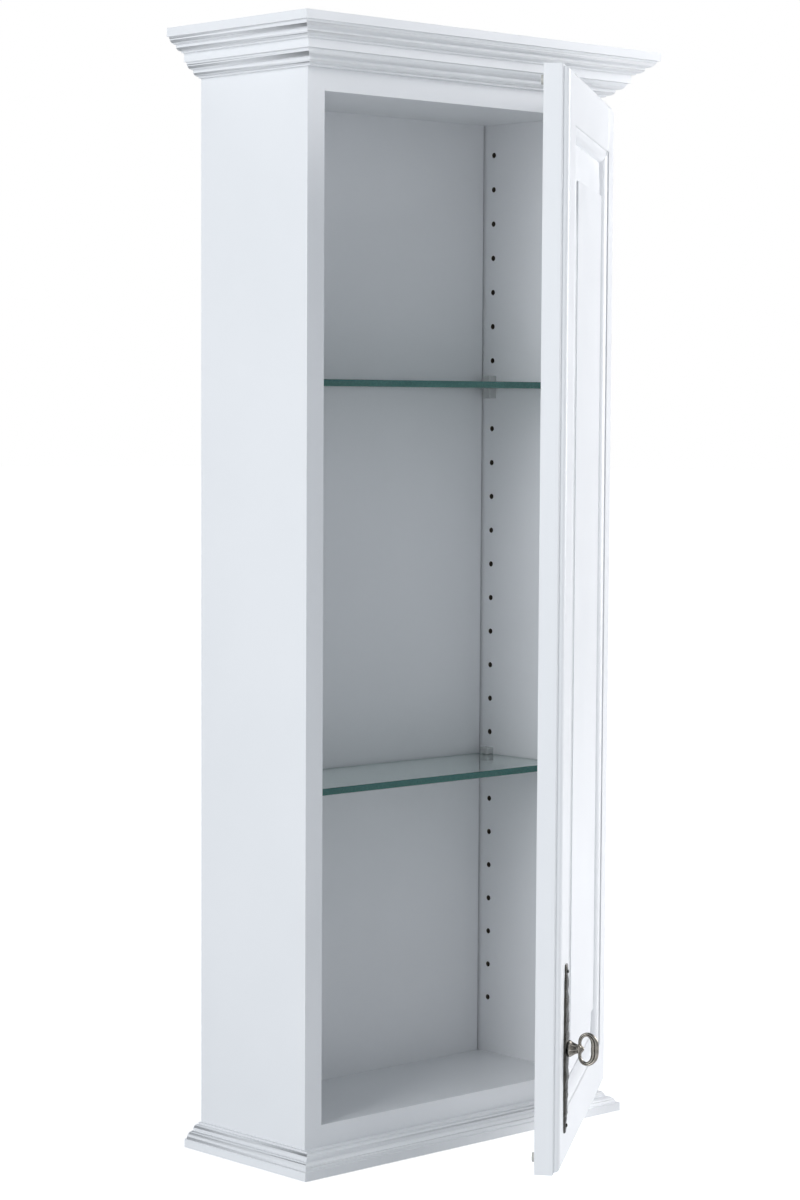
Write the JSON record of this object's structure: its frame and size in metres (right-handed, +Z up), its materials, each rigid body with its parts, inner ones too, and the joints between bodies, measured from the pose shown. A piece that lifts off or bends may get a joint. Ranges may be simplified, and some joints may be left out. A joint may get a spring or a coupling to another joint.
{
  "type": "apothecary wall cabinet",
  "caption": "Narrow white wall cabinet with stepped mouldings, glass shelves on clear clips and a raised-panel door with a key-shaped pull.",
  "frame": {"origin": "on the wall plane, at the middle of the width, level with the underside of the base", "axes": "+X to the right seen from the front, +Y into the wall, +Z up"},
  "size_m": [0.43, 0.3737, 0.979],
  "materials": {
    "painted_wood": "white satin lacquer",
    "raw_beech": "bare beech dowel",
    "shelf_glass": "clear float glass with ground edges",
    "clear_plastic": "clear moulded polycarbonate",
    "nickel_steel": "nickel-plated pressed steel",
    "zinc_steel": "zinc-plated steel",
    "pewter": "antique pewter plate on zinc casting",
    "magnet": "nickel-plated magnet",
    "bumper": "clear soft polyurethane"
  },
  "bodies": {
    "cabinet": {"back_panel": "painted_wood", "back_screws": "zinc_steel", "base_board": "painted_wood", "base_moulding_front": "painted_wood", "base_moulding_left": "painted_wood", "base_moulding_right": "painted_wood", "base_screws": "zinc_steel", "bottom_dowels": "raw_beech", "bottom_panel": "painted_wood", "catch_magnet": "magnet", "catch_plug": "painted_wood", "crown_lower_board": "painted_wood", "crown_lower_moulding_front": "painted_wood", "crown_lower_moulding_left": "painted_wood", "crown_lower_moulding_right": "painted_wood", "crown_screws": "zinc_steel", "crown_upper_board": "painted_wood", "crown_upper_moulding_front": "painted_wood", "crown_upper_moulding_left": "painted_wood", "crown_upper_moulding_right": "painted_wood", "hanging_plate_screws": "zinc_steel", "hanging_plates": "zinc_steel", "hinge_arm_screws": "nickel_steel", "hinge_mount_screws": "nickel_steel", "left_side": "painted_wood", "lower_hinge_arm": "nickel_steel", "lower_hinge_mount": "nickel_steel", "lower_shelf": "shelf_glass", "lower_shelf_clips": "clear_plastic", "right_side": "painted_wood", "top_dowels": "raw_beech", "top_panel": "painted_wood", "upper_hinge_arm": "nickel_steel", "upper_hinge_mount": "nickel_steel", "upper_shelf": "shelf_glass", "upper_shelf_clips": "clear_plastic"},
    "door": {"door_bottom_rail": "painted_wood", "door_bumpers": "bumper", "door_hinge_stile": "painted_wood", "door_lock_stile": "painted_wood", "door_panel": "painted_wood", "door_top_rail": "painted_wood", "escutcheon_pins": "pewter", "escutcheon_plate": "pewter", "hinge_cup_screws": "nickel_steel", "key_pull": "pewter", "lower_hinge_cup": "nickel_steel", "lower_hinge_pin": "nickel_steel", "pull_screw": "zinc_steel", "strike_disc": "zinc_steel", "upper_hinge_cup": "nickel_steel", "upper_hinge_pin": "nickel_steel"}
  },
  "joints": [
    {"name": "door_hinge", "type": "hinge", "parent": "cabinet", "child": "door", "pos_m": [0.1665, -0.1535, 0], "axis": [0, 0, 1], "range_deg": [-37, 58]}
  ]
}
